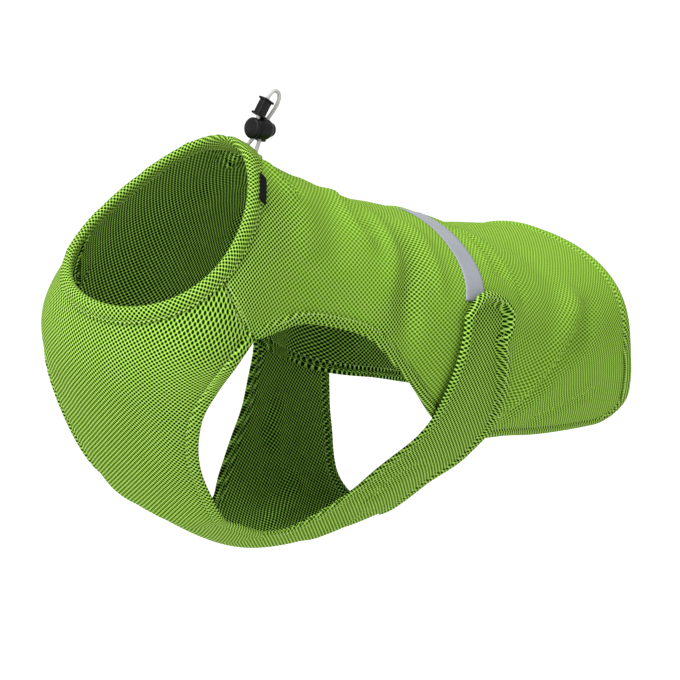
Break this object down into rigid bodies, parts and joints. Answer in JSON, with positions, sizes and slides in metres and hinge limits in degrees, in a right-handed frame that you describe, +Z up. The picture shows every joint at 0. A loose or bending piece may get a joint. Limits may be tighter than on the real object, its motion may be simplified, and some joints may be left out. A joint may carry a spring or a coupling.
{
  "type": "dog cooling vest",
  "caption": "Sleeveless mesh vest for a dog with a drawcord neck, a saddle-shaped back panel, a chest panel that ends in belly straps and a reflective band across the back.",
  "frame": {"origin": "where the back panel's inner face rests on the withers", "axes": "-X towards the dog's head, +Z up away from its back, -Y on its left side"},
  "size_m": [0.5901, 0.2445, 0.3665],
  "materials": {
    "spacer_mesh": "open warp-knit mesh, matte",
    "reflective_tape": "silver reflective, satin",
    "label": "woven, matte, blank",
    "cord": "round braided elastic",
    "black_plastic": "moulded, slightly glossy"
  },
  "bodies": {
    "root": {"back_panel": "spacer_mesh", "chest_panel": "spacer_mesh", "neck_casing": "spacer_mesh", "reflective_tape": "reflective_tape", "neck_tag": "label", "drawcord": "cord", "drawcord_in_casing": "cord", "cord_lock": "black_plastic", "lock_plunger": "black_plastic", "cord_clip": "black_plastic"}
  },
  "joints": []
}
